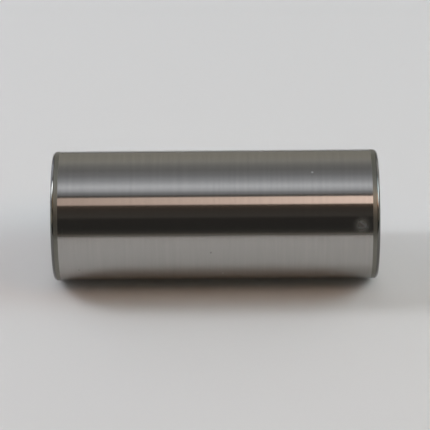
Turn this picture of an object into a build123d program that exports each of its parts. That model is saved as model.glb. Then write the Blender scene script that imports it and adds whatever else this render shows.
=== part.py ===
from build123d import *
import math
import os

# A crank pin for a crankshaft that is pressed together from separate webs.
# It is one solid piece of case-hardened steel, turned and then ground on its outside.
# The pin stands on one end face: its axis is +Z, and the origin is the middle of that face.
# Lengths are in millimetres and angles in degrees.

# The land is the ground cylinder: its two ends are pressed into the webs,
# and the rollers of the big-end bearing run round its middle.
LAND_DIAMETER = 20.0

# Over the two end faces
PIN_LENGTH = 50.0

# The lead-in is a slow taper, left unground, that starts each end straight into the bore of its web.
# Its length runs along the axis from the land to the end face, and its angle is taken from the axis.
LEAD_LENGTH = 1.1
LEAD_ANGLE = 4.0

# The edge between each taper and its end face is rounded, so that it can't raise a burr in the bore.
CORNER_RADIUS = 0.5


def half_section():
    """Half of the lengthwise section, from the axis out to the land."""
    land_radius = LAND_DIAMETER / 2
    face_radius = land_radius - LEAD_LENGTH * math.tan(math.radians(LEAD_ANGLE))
    outline = Polyline(
        (0, 0),
        (face_radius, 0),
        (land_radius, LEAD_LENGTH),
        (land_radius, PIN_LENGTH - LEAD_LENGTH),
        (face_radius, PIN_LENGTH),
        (0, PIN_LENGTH),
        close=True,
    )
    section = make_face(outline)
    # Counted out from the axis, the second pair of corners is where the tapers meet the end faces.
    face_corners = section.vertices().group_by(Axis.X)[1]
    return fillet(face_corners, CORNER_RADIUS)


def crank_pin():
    """The pin, as its half section turned once about the axis."""
    pin = revolve(Plane.XZ * half_section(), Axis.Z)
    pin.label = "crank_pin"
    return pin


os.makedirs("parts", exist_ok=True)
export_step(crank_pin(), "parts/crank_pin.step")
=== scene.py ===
# %% [markdown]
# A crank pin, lit and photographed on paper
#
# The pin is one bar of hardened steel: a long ground land, and at each end a short slow taper
# that runs into a rounded corner and a flat end face. Steel like this has hardly a colour of its
# own. What the eye reads is the room in its surface, so most of this lesson is about two things:
# a mesh that reflects cleanly, and a small studio that is worth reflecting.

# %% Load the frame
import math

import bmesh
import bpy
from mathutils import Matrix, Vector


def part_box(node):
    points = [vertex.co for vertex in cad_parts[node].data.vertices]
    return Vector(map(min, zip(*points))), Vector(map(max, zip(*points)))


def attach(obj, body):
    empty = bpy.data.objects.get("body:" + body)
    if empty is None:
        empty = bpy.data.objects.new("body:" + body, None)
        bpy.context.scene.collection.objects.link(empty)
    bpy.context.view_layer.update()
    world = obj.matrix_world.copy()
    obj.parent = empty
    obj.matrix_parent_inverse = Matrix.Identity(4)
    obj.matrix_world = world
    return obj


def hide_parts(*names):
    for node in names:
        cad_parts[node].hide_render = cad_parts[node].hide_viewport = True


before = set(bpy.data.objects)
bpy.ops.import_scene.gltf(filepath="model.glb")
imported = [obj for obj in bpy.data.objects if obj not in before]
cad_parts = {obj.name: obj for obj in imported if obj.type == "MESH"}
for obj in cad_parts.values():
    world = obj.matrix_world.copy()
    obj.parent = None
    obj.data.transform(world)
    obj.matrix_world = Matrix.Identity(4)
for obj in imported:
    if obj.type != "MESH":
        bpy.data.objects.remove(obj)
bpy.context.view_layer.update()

MM = 0.001
pin_low, pin_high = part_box("crank_pin")
land_radius = (pin_high.x - pin_low.x) / 2
pin_length = pin_high.z - pin_low.z
pin_middle = Vector((0, 0, pin_length / 2))
print("pin radius and length in mm:", round(land_radius / MM, 3), round(pin_length / MM, 3))

# %% [markdown]
# The shape is a turned one, so it is made the way a lathe makes it: half of the outline is drawn
# as a wire from the axis out and back, and the wire is spun once round the axis. It could also be
# a cylinder whose ends are inset and bevelled, but a wire lets the taper and the corner be set by
# their own sizes before there is any surface. Where the taper meets the end face, the wire's
# corner is rounded. Where it meets the land it stays sharp, for there the grinding simply ends.

# %% Turn the pin
lead_length = 1.1 * MM
lead_angle = math.radians(4)
corner_radius = 0.5 * MM
corner_segments = 14
turn_steps = 360

face_radius = land_radius - lead_length * math.tan(lead_angle)
# How far from the sharp corner its round starts, for the angle that the corner turns through
corner_turn = math.radians(90) - lead_angle
corner_reach = corner_radius * math.tan(corner_turn / 2)

outline = [
    (0, pin_low.z),
    (face_radius, pin_low.z),
    (land_radius, pin_low.z + lead_length),
    (land_radius, pin_high.z - lead_length),
    (face_radius, pin_high.z),
    (0, pin_high.z),
]
lathe = bmesh.new()
points = [lathe.verts.new((x, 0, z)) for x, z in outline]
for start, end in zip(points, points[1:]):
    lathe.edges.new((start, end))
bmesh.ops.bevel(
    lathe,
    geom=[points[1], points[4]],
    offset=corner_reach,
    offset_type="OFFSET",
    segments=corner_segments,
    profile=0.5,
    affect="VERTICES",
    material=-1,
)
bmesh.ops.spin(
    lathe,
    geom=lathe.verts[:] + lathe.edges[:],
    cent=(0, 0, 0),
    axis=(0, 0, 1),
    dvec=(0, 0, 0),
    angle=math.tau,
    steps=turn_steps,
    use_merge=True,
)
bmesh.ops.remove_doubles(lathe, verts=lathe.verts, dist=0.001 * MM)
bmesh.ops.recalc_face_normals(lathe, faces=lathe.faces)
print("faces:", len(lathe.faces), "volume in mm3:", round(lathe.calc_volume() / MM**3, 1))

# %% [markdown]
# The pin has four finishes. The land is ground and superfinished, the taper is dull from
# hardening, the corner has been rubbed, and the end face is ground flat. Each gets a material
# slot of its own. The faces could be told apart by where they lie, but how far they lean towards
# the axis steps up at each change of finish, so that one measure is enough for all four.

# %% Share the faces among four finishes
LAND, LEAD, CORNER, FACE = range(4)
first_corner_face = lead_angle + corner_turn / corner_segments / 2
nearly_flat = math.cos(math.radians(1))
any_lean = 1.1
# The most that the normals of each zone lean towards the axis, with 1 for straight along it
steepest = {
    LAND: math.sin(lead_angle / 2),
    LEAD: math.sin((lead_angle + first_corner_face) / 2),
    CORNER: nearly_flat,
    FACE: any_lean,
}
for face in lathe.faces:
    face.smooth = True
    along_axis = abs(face.normal.z)
    face.material_index = min(zone for zone, limit in steepest.items() if along_axis < limit)
ground_edges = [
    edge for edge in lathe.edges
    if len({face.material_index for face in edge.link_faces} & {LAND, LEAD}) == 2
]
for edge in ground_edges:
    edge.smooth = False
pin_mesh = bpy.data.meshes.new("ground_crank_pin")
lathe.to_mesh(pin_mesh)
for zone, title in ((LAND, "land"), (LEAD, "taper"), (CORNER, "corner"), (FACE, "end face")):
    print(title, "faces:", sum(face.material_index == zone for face in lathe.faces))
print("edges kept sharp:", len(ground_edges))
lathe.free()
pin = bpy.data.objects.new("ground_crank_pin", pin_mesh)
bpy.context.scene.collection.objects.link(pin)

# %% [markdown]
# On a polished cylinder the shading normals matter more than the faces. Plain smooth shading
# would tilt the normals where the wide end face meets the narrow faces of the corner, and bend
# the reflection there. A Weighted Normal modifier lets the large faces keep their own direction,
# and the edges that were marked sharp stay sharp.

# %% Keep the long faces true
weighting = pin.modifiers.new("true_faces", "WEIGHTED_NORMAL")
weighting.mode = "FACE_AREA"
weighting.weight = 100
weighting.keep_sharp = True
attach(pin, "root")
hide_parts("crank_pin")
print("the pin is drawn in place of the solid, with the modifier", weighting.name)

# %% [markdown]
# Three small functions serve all the materials. One turns a colour that is written as it looks on
# a screen into the linear numbers that light is added up in. One adds a node, sets its values and
# joins it to what feeds it, so that a material reads as a list of steps. The last gives an empty
# material to start from.

# %% Colour and node helpers
def linear(hex_colour):
    """The linear colour of an sRGB one that is written as six hex digits."""
    channels = [int(hex_colour[i : i + 2], 16) / 255 for i in (0, 2, 4)]
    return [c / 12.92 if c <= 0.04045 else ((c + 0.055) / 1.055) ** 2.4 for c in channels] + [1]


def add_node(tree, kind, settings=(), **inputs):
    """Adds a node. settings are its own properties, and an input is a value or an output to link."""
    node = tree.nodes.new(kind)
    for name, value in dict(settings).items():
        setattr(node, name, value)
    for name, value in inputs.items():
        # A name such as Base_Color stands for a socket with a space, and _1 for a socket by its number.
        key = int(name[1:]) if name[0] == "_" else name.replace("_", " ")
        socket = node.inputs[key]
        if isinstance(value, bpy.types.NodeSocket):
            tree.links.new(value, socket)
        else:
            socket.default_value = value
    return node


def new_material(name):
    """An empty node material and its tree."""
    material = bpy.data.materials.new(name)
    material.use_nodes = True
    material.node_tree.nodes.clear()
    return material, material.node_tree


print("mid grey 808080 in linear light:", round(linear("808080")[0], 3))

# %% [markdown]
# In the photograph the pin lies on its side on a sheet of paper, and here it stands on its end.
# So the whole studio is turned with it: the paper stands upright and touches the pin's side. To
# keep the sums simple, the studio has a frame of its own at the middle of the pin. Its x runs to
# the right of the picture, along the pin, its y away from the camera, and its z up from the paper.
# Everything round the pin is placed in it by two angles, as a photographer would: a bearing round
# the pin, and a height above the paper.

# %% Studio frame
picture_right = Vector((0, 0, 1))
paper_normal = Vector((1, -1, 0)).normalized()
away = paper_normal.cross(picture_right)
turned = Matrix((picture_right, away, paper_normal)).transposed()
studio = Matrix.LocRotScale(pin_middle, turned.to_quaternion(), None)
ALONG_PIN = Vector((1, 0, 0))


def towards(bearing, height):
    """The direction at a bearing, 0 to the camera's side and 90 to the right, and at a height."""
    bearing, height = math.radians(bearing), math.radians(height)
    level = Vector((math.sin(bearing), -math.cos(bearing), 0))
    return math.cos(height) * level + math.sin(height) * Vector((0, 0, 1))


def set_up(name, shape, material, place=Matrix()):
    """Puts a shape into the studio as a piece of staging, and frees the shape."""
    mesh = bpy.data.meshes.new(name)
    shape.to_mesh(mesh)
    shape.free()
    mesh.materials.append(material)
    made = bpy.data.objects.new(name, mesh)
    bpy.context.scene.collection.objects.link(made)
    made.matrix_world = studio @ place
    return made


print("paper faces along:", [round(c, 3) for c in paper_normal])

# %% [markdown]
# The camera looks down on the pin at about 36 degrees. The land itself tells this height: it
# mirrors the paper's horizon, at the foot of its black band, where its surface faces halfway
# between the camera and the level. The slight roundness of the ends gives the distance, and the
# small tilt of the long edges gives the roll. Sizes on the picture are named in pixels, and one
# pixel at the pin's axis is worth the land's radius divided by the radius in the picture.

# %% Camera
# Places are in pixels from the picture's top left, and the distance is in radii of the land.
picture_pixels = 430
pixels_per_radius = 64.46
camera_height = 35.7
camera_roll = math.radians(0.44)
camera_yaw = math.radians(0.27)
camera_radii = 39.06
pin_pixel_x = 215.48
pin_pixel_y = 214.88

facing = Matrix.Rotation(math.radians(90 - camera_height), 4, "X")
turn = Matrix.Rotation(camera_yaw, 4, "Y") @ Matrix.Rotation(-camera_roll, 4, "Z")
camera_axes = facing @ turn
pixel = land_radius / pixels_per_radius
camera_distance = camera_radii * land_radius
offset = Vector((
    (picture_pixels / 2 - pin_pixel_x) * pixel,
    (pin_pixel_y - picture_pixels / 2) * pixel,
    camera_distance,
))
lens = bpy.data.cameras.new("camera")
lens.sensor_width = 36
lens.lens = lens.sensor_width * camera_distance / (picture_pixels * pixel)
lens.clip_start = 10 * MM
lens.clip_end = 10
camera = bpy.data.objects.new("camera", lens)
bpy.context.scene.collection.objects.link(camera)
camera.matrix_world = studio @ camera_axes @ Matrix.Translation(offset)
bpy.context.scene.camera = camera
print("lens in mm:", round(lens.lens, 1), "distance in mm:", round(camera_distance / MM, 1))

# %% [markdown]
# The land is the bearing track, so it was ground and then superfinished. Such a surface is nearly
# a mirror round the pin, but along the pin the fine marks of the stone, which run round it, still
# spread the light. Anisotropy does this: without a UV map its direction runs round the object's
# own z axis, and a quarter of a turn lays the wide blur along the pin. The real marks are a few
# micrometres apart, far too fine for a picture in which one pixel is a sixth of a millimetre, so
# they are drawn coarser here, as faint rings that change the brightness by a few per cent.

# %% Rings of the superfinishing stone
ring_width = 0.35 * MM
ring_length = 14 * MM
land_steel, tree = new_material("superfinished_hardened_steel")
on_pin = add_node(tree, "ShaderNodeTexCoord").outputs["Object"]
rings_at = add_node(
    tree, "ShaderNodeMapping", Vector=on_pin, Scale=(1 / ring_length, 1 / ring_length, 1 / ring_width)
)
rings = add_node(
    tree, "ShaderNodeTexNoise", Vector=rings_at.outputs["Vector"], Scale=1.0, Detail=2.0, Roughness=0.6
)
lay = add_node(
    tree, "ShaderNodeMix", {"data_type": "RGBA"},
    Factor=rings.outputs["Fac"], _6=linear("A5A3A0"), _7=linear("B2AFAB"),
)
land_colour = lay.outputs[2]
print("ring width and picture pixel in mm:", round(ring_width / MM, 2), round(pixel / MM, 3))

# %% [markdown]
# A pin that has been handled has a few small marks: a dull rub near one end with a light scratch
# across it, and some specks. Each is a soft spot of another colour, laid on by where it is on the
# pin. A Mapping node of the Texture type moves a spot's middle to the origin, turns it and scales
# its half sizes to one, so that the length of the result is a mask with a soft edge. The rub
# also spreads the light more than the polished steel round it, so the same mask makes it rougher.

# %% Marks on the land
studio_turn = studio.to_3x3()
solid_share = 0.3


def spot_on_land(along, round_pin, half_along, half_round, lean, share):
    """A soft spot: the share in its middle, and nothing from its edge on.

    It is placed in mm from the bottom end, and in degrees upwards from the line that faces the
    camera. Its half sizes are in mm, and it leans by an angle from the pin's axis.
    """
    outwards = studio_turn @ towards(0, camera_height + round_pin)
    place = land_radius * outwards + along * MM * picture_right
    leaned = Matrix.Rotation(math.radians(lean), 3, outwards) @ picture_right
    axes = Matrix((leaned, outwards.cross(leaned), outwards)).transposed()
    size = Vector((half_along, half_round, max(half_along, half_round))) * MM
    centred = add_node(
        tree, "ShaderNodeMapping", {"vector_type": "TEXTURE"},
        Vector=on_pin, Location=place, Rotation=axes.to_euler(), Scale=size,
    )
    away_from_middle = add_node(
        tree, "ShaderNodeVectorMath", {"operation": "LENGTH"}, Vector=centred.outputs["Vector"]
    )
    mask = add_node(
        tree, "ShaderNodeMapRange", {"interpolation_type": "SMOOTHSTEP"},
        Value=away_from_middle.outputs["Value"],
        From_Min=solid_share, From_Max=1.0, To_Min=share, To_Max=0.0,
    )
    return mask.outputs[0]


rub = spot_on_land(47.2, -9.5, 1.7, 1.5, 0, 1.0)
RUBBED, PALE, DARK = "DFDDD8", "FFFFFF", "5A5855"
# Each mark's place along and round the pin, its two half sizes, its lean and its share
marks = [
    ("rub", RUBBED, rub),
    ("scratch on the rub", PALE, spot_on_land(47.4, -9, 1.3, 0.2, -35, 1.0)),
    ("dark speck near the middle", DARK, spot_on_land(24.3, -35, 0.22, 0.22, 0, 0.5)),
    ("light speck below the middle", PALE, spot_on_land(26.1, -63.5, 0.22, 0.22, 0, 0.7)),
    ("dark speck low on the left", DARK, spot_on_land(4.1, -56, 0.22, 0.22, 0, 0.5)),
    ("light speck high on the right", PALE, spot_on_land(39.8, 39.6, 0.25, 0.25, 0, 0.5)),
]
for title, colour, mask in marks:
    marked = add_node(
        tree, "ShaderNodeMix", {"data_type": "RGBA"}, Factor=mask, _6=land_colour, _7=linear(colour)
    )
    land_colour = marked.outputs[2]
print("marks on the land:", ", ".join(title for title, colour, mask in marks))

# %% [markdown]
# The land's shader takes the ringed and marked colour. The steel reflects somewhat less than half
# of the light and slightly less of the blue, which gives it its warm grey. The roughness is low,
# and the anisotropy shares it out: hardly any round the pin, where the reflected edges stay
# crisp, and much more along it. Near grazing angles the plain law for metals makes the rim
# brighter than it is on the real pin. A grey specular tint, which acts most near 82 degrees, takes
# that back.

# %% Superfinished land
polished = 0.14
rubbed = 0.28
land_roughness = add_node(tree, "ShaderNodeMapRange", Value=rub, To_Min=polished, To_Max=rubbed)
quarter_turn = 0.25
land_shader = add_node(
    tree,
    "ShaderNodeBsdfPrincipled",
    Base_Color=land_colour,
    Metallic=1.0,
    Roughness=land_roughness.outputs[0],
    Anisotropic=0.9,
    Anisotropic_Rotation=quarter_turn,
    Specular_Tint=linear("D4D4D4"),
)
add_node(tree, "ShaderNodeOutputMaterial", Surface=land_shader.outputs["BSDF"])
pin_mesh.materials.append(land_steel)
print("nodes in the land's material:", len(tree.nodes))

# %% [markdown]
# The other three finishes are plain steel and differ in colour and in how dull they are. The
# taper kept the grey skin that hardening leaves, so it is darker and much duller than the land.
# The corner was only rubbed over after hardening: still dark, but glossy enough to draw a light
# into a thin bright line. The end face was ground flat on a surface grinder and has a satin look.

# %% Taper, corner and end face
# Name, colour and roughness
plain_finishes = [
    ("turned_and_hardened_steel", "7F7E76", 0.42),
    ("rubbed_hardened_steel", "6C6B68", 0.12),
    ("surface_ground_hardened_steel", "B0AEAB", 0.3),
]
for name, colour, roughness in plain_finishes:
    steel, tree = new_material(name)
    shader = add_node(
        tree, "ShaderNodeBsdfPrincipled", Base_Color=linear(colour), Metallic=1.0, Roughness=roughness
    )
    add_node(tree, "ShaderNodeOutputMaterial", Surface=shader.outputs["BSDF"])
    pin_mesh.materials.append(steel)
print("materials on the pin, by slot:", [material.name for material in pin_mesh.materials])

# %% [markdown]
# The pin lies on a large sheet of matte paper, a very pale grey. The sheet reaches far to the
# front, because the lower half of the polished land shows it almost out to its horizon, and it
# ends a short way behind the pin, so that the land's upper edge mirrors something darker. Seen
# from its back the paper is clear, so that it doesn't block the views from behind.

# %% Paper
paper_front = 900 * MM
paper_behind = 96 * MM
paper_side = 450 * MM
paper_pale, tree = new_material("matte_pale_paper")
shader = add_node(tree, "ShaderNodeBsdfPrincipled", Base_Color=linear("CDCCCB"), Roughness=0.9)
clear = add_node(tree, "ShaderNodeBsdfTransparent")
side = add_node(tree, "ShaderNodeNewGeometry")
surface = add_node(
    tree, "ShaderNodeMixShader",
    Fac=side.outputs["Backfacing"], _1=shader.outputs["BSDF"], _2=clear.outputs["BSDF"],
)
add_node(tree, "ShaderNodeOutputMaterial", Surface=surface.outputs["Shader"])
sheet = bmesh.new()
bmesh.ops.create_grid(sheet, x_segments=1, y_segments=1, size=0.5)
bmesh.ops.scale(sheet, vec=(2 * paper_side, paper_front + paper_behind, 1), verts=sheet.verts)
bmesh.ops.translate(sheet, vec=(0, (paper_behind - paper_front) / 2, -land_radius), verts=sheet.verts)
paper = set_up("paper", sheet, paper_pale)
print("paper in mm:", [round(d / MM) for d in paper.dimensions])

# %% [markdown]
# The studio's lights are surfaces that glow, because a polished pin shows the shape of each lamp.
# Real studios use sheets of diffusing cloth and boards for the same reason. One function ends a
# material with a light, and another stands a flat card up so that it faces the pin.

# %% Glowing cards
def shine(tree, colour, strength):
    """Makes a material glow. The colour and the strength are each a value or an output to link."""
    light = add_node(tree, "ShaderNodeEmission", Color=colour, Strength=strength)
    add_node(tree, "ShaderNodeOutputMaterial", Surface=light.outputs["Emission"])


def card(name, direction, distance, length, width, material):
    """A flat card that faces the pin, with its length as near as it can be along the pin."""
    across = direction.cross(ALONG_PIN).normalized()
    lengthways = across.cross(direction).normalized()
    axes = Matrix((lengthways, across, lengthways.cross(across))).transposed()
    place = Matrix.LocRotScale(distance * direction, axes.to_quaternion(), Vector((length, width, 1)))
    flat = bmesh.new()
    bmesh.ops.create_grid(flat, x_segments=1, y_segments=1, size=0.5)
    made = set_up(name, flat, material, place)
    made.visible_camera = False
    print(name, "in mm:", round(length / MM), "by", round(width / MM), "at", round(distance / MM))


print("helpers for glowing surfaces: shine and card")

# %% [markdown]
# Over the pin hangs an arch of diffusing cloth, from above the camera to the level behind the pin.
# The upper half of the land mirrors it, so its brightness by angle is the pattern of bands on the
# pin: a bright cool band just in front of the zenith, a fall to a dim zone behind it, and a warmer
# rise towards the back. Overhead the cloth is dim at its two ends, so that the dull tapers stay
# dark, and at the back it is bright out to its ends, for the corners to mirror. A short wire is
# spun round the pin's axis to make the arch, and a ColorRamp is read by the angle round that axis.

# %% Arch
arch_radius = 400 * MM
arch_half_length = 160 * MM
arch_full_to = 60 * MM
arch_end_share = 0.15
arch_steps = 60
zenith = 90
# Angles are in degrees from the paper in front, over the pin, to the back.
arch_start = 71
arch_end = 188
cool_to, warm_from = 105, 160
dim_ends_to, bright_ends_from = 120, 160
# Each angle and how bright the cloth is there
arch_levels = [
    (71, 0.25),
    (75, 0.38),
    (80, 0.74),
    (86, 0.96),
    (89, 0.93),
    (98, 0.59),
    (110, 0.35),
    (122, 0.26),
    (132, 0.30),
    (146, 0.43),
    (188, 0.45),
]
arch_cloth, tree = new_material("glowing_diffusing_cloth")
where = add_node(tree, "ShaderNodeTexCoord").outputs["Object"]
part = add_node(tree, "ShaderNodeSeparateXYZ", Vector=where)
# Measured from straight up, so that the angle doesn't jump anywhere on the arch
past_zenith = add_node(
    tree, "ShaderNodeMath", {"operation": "ARCTAN2"}, _0=part.outputs["Y"], _1=part.outputs["Z"]
)
along_arch = add_node(
    tree, "ShaderNodeMapRange", Value=past_zenith.outputs[0],
    From_Min=math.radians(arch_start - zenith), From_Max=math.radians(arch_end - zenith),
)
ramp = add_node(tree, "ShaderNodeValToRGB", Fac=along_arch.outputs[0])
ramp_points = ramp.color_ramp.elements
ramp_points.remove(ramp_points[-1])
for angle, level in arch_levels:
    at = (angle - arch_start) / (arch_end - arch_start)
    point = ramp_points.new(at) if at > 0 else ramp_points[0]
    point.color = (level, level, level, 1)
warmth = add_node(
    tree, "ShaderNodeMapRange", Value=past_zenith.outputs[0],
    From_Min=math.radians(cool_to - zenith), From_Max=math.radians(warm_from - zenith),
)
tint = add_node(
    tree, "ShaderNodeMix", {"data_type": "RGBA"},
    Factor=warmth.outputs[0], _6=linear("F4F8FF"), _7=linear("FFFCEF"),
)
end_share = add_node(
    tree, "ShaderNodeMapRange", Value=past_zenith.outputs[0], To_Min=arch_end_share, To_Max=1.0,
    From_Min=math.radians(dim_ends_to - zenith), From_Max=math.radians(bright_ends_from - zenith),
)
off_middle = add_node(tree, "ShaderNodeMath", {"operation": "ABSOLUTE"}, _0=part.outputs["X"])
fade = add_node(
    tree, "ShaderNodeMapRange", {"interpolation_type": "SMOOTHSTEP"}, Value=off_middle.outputs[0],
    From_Min=arch_full_to, From_Max=arch_half_length, To_Min=1.0, To_Max=end_share.outputs[0],
)
arch_strength = add_node(
    tree, "ShaderNodeMath", {"operation": "MULTIPLY"}, _0=ramp.outputs["Color"], _1=fade.outputs[0]
)
shine(tree, tint.outputs[2], arch_strength.outputs[0])
sheet = bmesh.new()
start = towards(0, arch_start) * arch_radius
ends = [sheet.verts.new(start + sign * arch_half_length * ALONG_PIN) for sign in (-1, 1)]
sheet.edges.new(ends)
bmesh.ops.spin(
    sheet,
    geom=sheet.verts[:] + sheet.edges[:],
    cent=(0, 0, 0),
    axis=-ALONG_PIN,
    dvec=(0, 0, 0),
    angle=math.radians(arch_end - arch_start),
    steps=arch_steps,
    use_merge=False,
)
arch = set_up("arch", sheet, arch_cloth)
arch.visible_camera = False
top_at = max(arch.data.vertices, key=lambda v: v.co.z).co
print("arch top in the studio frame, mm:", [round(c / MM) for c in top_at])

# %% [markdown]
# Low in front stands a dark flag, which the land shows as its black band, and above it a narrow
# warm strip, the brightest line on the pin. The flag is not quite black: it glows a little, with
# painted light that stands for what falls on the cloth and is palest at its foot, where the paper
# lights it, so that the band keeps the faint steps that the photograph has. The strip is lit from
# its right end, so its light falls off with the square of the distance from the lamp there.

# %% Flag and strip in front
front_distance = 430 * MM
flag_length = 330 * MM
strip_length = 600 * MM
strip_low = 53.7
strip_high = 67.1
strip_lamp_reach = 300 * MM
strip_lamp_at_middle = 0.97
strip_brightest = 2.5


def card_across(low, high, distance):
    """The width that a card needs to be seen from one height above the paper to another."""
    return 2 * distance * math.tan(math.radians(high - low) / 2)


# Each height above the paper in degrees, and the flag's glow there: painted light for what falls
# on the cloth, palest at its foot where the paper lights it
flag_shades = [
    (0, "8C867E"),
    (4, "494642"),
    (12, "363533"),
    (29, "363432"),
    (33, "4E4B47"),
    (45, "46413C"),
    (53, "544A42"),
]
flag_cloth, tree = new_material("dark_flag_cloth")
where = add_node(tree, "ShaderNodeTexCoord").outputs["Object"]
part = add_node(tree, "ShaderNodeSeparateXYZ", Vector=where)
up_flag = add_node(tree, "ShaderNodeMapRange", Value=part.outputs["Y"], From_Min=-0.5, From_Max=0.5)
ramp = add_node(tree, "ShaderNodeValToRGB", Fac=up_flag.outputs[0])
ramp_points = ramp.color_ramp.elements
ramp_points.remove(ramp_points[-1])
for height, shade in flag_shades:
    point = ramp_points.new(height / strip_low) if height > 0 else ramp_points[0]
    point.color = linear(shade)
shine(tree, ramp.outputs["Color"], 1.0)
flag_width = card_across(0, strip_low, front_distance)
card("front_flag", towards(0, strip_low / 2), front_distance, flag_length, flag_width, flag_cloth)

strip_cloth, tree = new_material("warm_diffusing_cloth")
where = add_node(tree, "ShaderNodeTexCoord").outputs["Object"]
part = add_node(tree, "ShaderNodeSeparateXYZ", Vector=where)
# The distance from the lamp, as a share of its reach, and its square turned upside down
from_lamp = add_node(
    tree, "ShaderNodeMath", {"operation": "MULTIPLY_ADD"},
    _0=part.outputs["X"], _1=-strip_length / strip_lamp_reach, _2=strip_lamp_at_middle,
)
falloff = add_node(tree, "ShaderNodeMath", {"operation": "POWER"}, _0=from_lamp.outputs[0], _1=-2.0)
strip_strength = add_node(
    tree, "ShaderNodeMath", {"operation": "MINIMUM"}, _0=falloff.outputs[0], _1=strip_brightest
)
shine(tree, linear("FFE6D8"), strip_strength.outputs[0])
strip_middle = towards(0, (strip_low + strip_high) / 2)
strip_width = card_across(strip_low, strip_high, front_distance)
card("warm_strip", strip_middle, front_distance, strip_length, strip_width, strip_cloth)

# %% [markdown]
# Two soft boxes stand at the sides, in line with the pin. The land can't mirror them, so they
# light the paper and draw the thin crescents on the rounded corners. A soft box is brightest in
# its middle, and a fade to its edge keeps its crescent soft. The boards round it are painted and
# lit evenly. So there are two kinds of glow here, each with a function that makes its material.

# %% Two kinds of glow for the sides
def fading_glow(name, colour, peak):
    """A glow that is brightest in the middle of its card and fades to nothing at its edge."""
    material, tree = new_material(name)
    where = add_node(tree, "ShaderNodeTexCoord").outputs["Object"]
    off_middle = add_node(tree, "ShaderNodeVectorMath", {"operation": "LENGTH"}, Vector=where)
    fade = add_node(
        tree, "ShaderNodeMapRange", {"interpolation_type": "SMOOTHSTEP"},
        Value=off_middle.outputs["Value"], From_Min=0.0, From_Max=0.5, To_Min=peak, To_Max=0.0,
    )
    shine(tree, linear(colour), fade.outputs[0])
    return material


def even_glow(name, colour, strength):
    """A glow that is the same all over its card."""
    material, tree = new_material(name)
    shine(tree, linear(colour), strength)
    return material


print("kinds of glow: fading cloth and even board")

# %% [markdown]
# Round the soft boxes stand boards that are much weaker. Low boards brighten the foot of the
# corners. Side boards just behind the pin fill the shadows at the back, and are wide and dim so
# that the corners don't mirror them as a second bright line. Back boards carry the crescents on
# round the corners, and warm wings in front give the shadow before the pin its warm colour. Each
# card is one row of a table, so that its light and its place can be read side by side.

# %% Soft boxes and boards at the sides
# Name, material, kind of glow, colour, strength, then bearing and height in degrees,
# and distance, length and width in mm
side_cards = [
    ("softbox_left", "diffusing_cloth_left", fading_glow, "F4F9FF", 14.9, -98, 43, 450, 400, 220),
    ("softbox_right", "diffusing_cloth_right", fading_glow, "E4F7FF", 8.2, 86, 41, 450, 350, 550),
    ("board_left", "cool_painted_board", even_glow, "E4EBFF", 1.55, -117, 10, 400, 480, 260),
    ("board_right", "pale_painted_board", even_glow, "FFF8F8", 1.15, 117, 10, 400, 480, 260),
    ("low_board_left", "cream_board_left", even_glow, "FFF4DC", 0.8, -75, 9, 450, 600, 110),
    ("low_board_right", "cream_board_right", even_glow, "FFF4DC", 0.5, 75, 9, 450, 600, 110),
    ("back_board_left", "white_board_left", even_glow, "FFFFFF", 1.2, -146, 42, 470, 300, 260),
    ("back_board_right", "white_board_right", even_glow, "FFFFFF", 0.8, 146, 42, 470, 300, 260),
    ("wing_left", "warm_board_left", even_glow, "FFDCA8", 0.7, -60, 45, 470, 280, 185),
    ("wing_right", "warm_board_right", even_glow, "FFB674", 2.6, 60, 45, 470, 280, 185),
]
for name, finish, glow, colour, strength, bearing, height, distance, length, width in side_cards:
    cloth = glow(finish, colour, strength)
    card(name, towards(bearing, height), distance * MM, length * MM, width * MM, cloth)

# %% [markdown]
# The room round the studio is a large dim box with walls of a plain pale grey. It is what the
# steel shows wherever no lamp stands, mostly on the dull tapers, and it keeps the shadows from
# going black. It gets lighter towards the back.

# %% Room
room_size = 2.4
room_front = 0.10
room_back = 0.16
room_glow, tree = new_material("room_walls")
where = add_node(tree, "ShaderNodeTexCoord").outputs["Object"]
part = add_node(tree, "ShaderNodeSeparateXYZ", Vector=where)
room_level = add_node(
    tree, "ShaderNodeMapRange", Value=part.outputs["Y"],
    From_Min=-room_size / 2, From_Max=room_size / 2, To_Min=room_front, To_Max=room_back,
)
shine(tree, linear("F2F0EC"), room_level.outputs[0])
walls = bmesh.new()
bmesh.ops.create_cube(walls, size=room_size)
room = set_up("room", walls, room_glow)
room.visible_camera = False
print("room brightness, front and back:", room_front, room_back)

# %% [markdown]
# The camera never sees the cards or the room. Past the paper's edge it sees the world, a plain pale
# grey, which only matters in views from the side. The room is closed, so the world adds no light.

# %% World
world = bpy.data.worlds.new("pale_surroundings")
bpy.context.scene.world = world
world.use_nodes = True
tree = world.node_tree
tree.nodes.clear()
background = add_node(tree, "ShaderNodeBackground", Color=linear("E2E3E3"), Strength=1.0)
add_node(tree, "ShaderNodeOutputWorld", Surface=background.outputs["Background"])
bpy.context.scene.view_settings.view_transform = "Standard"
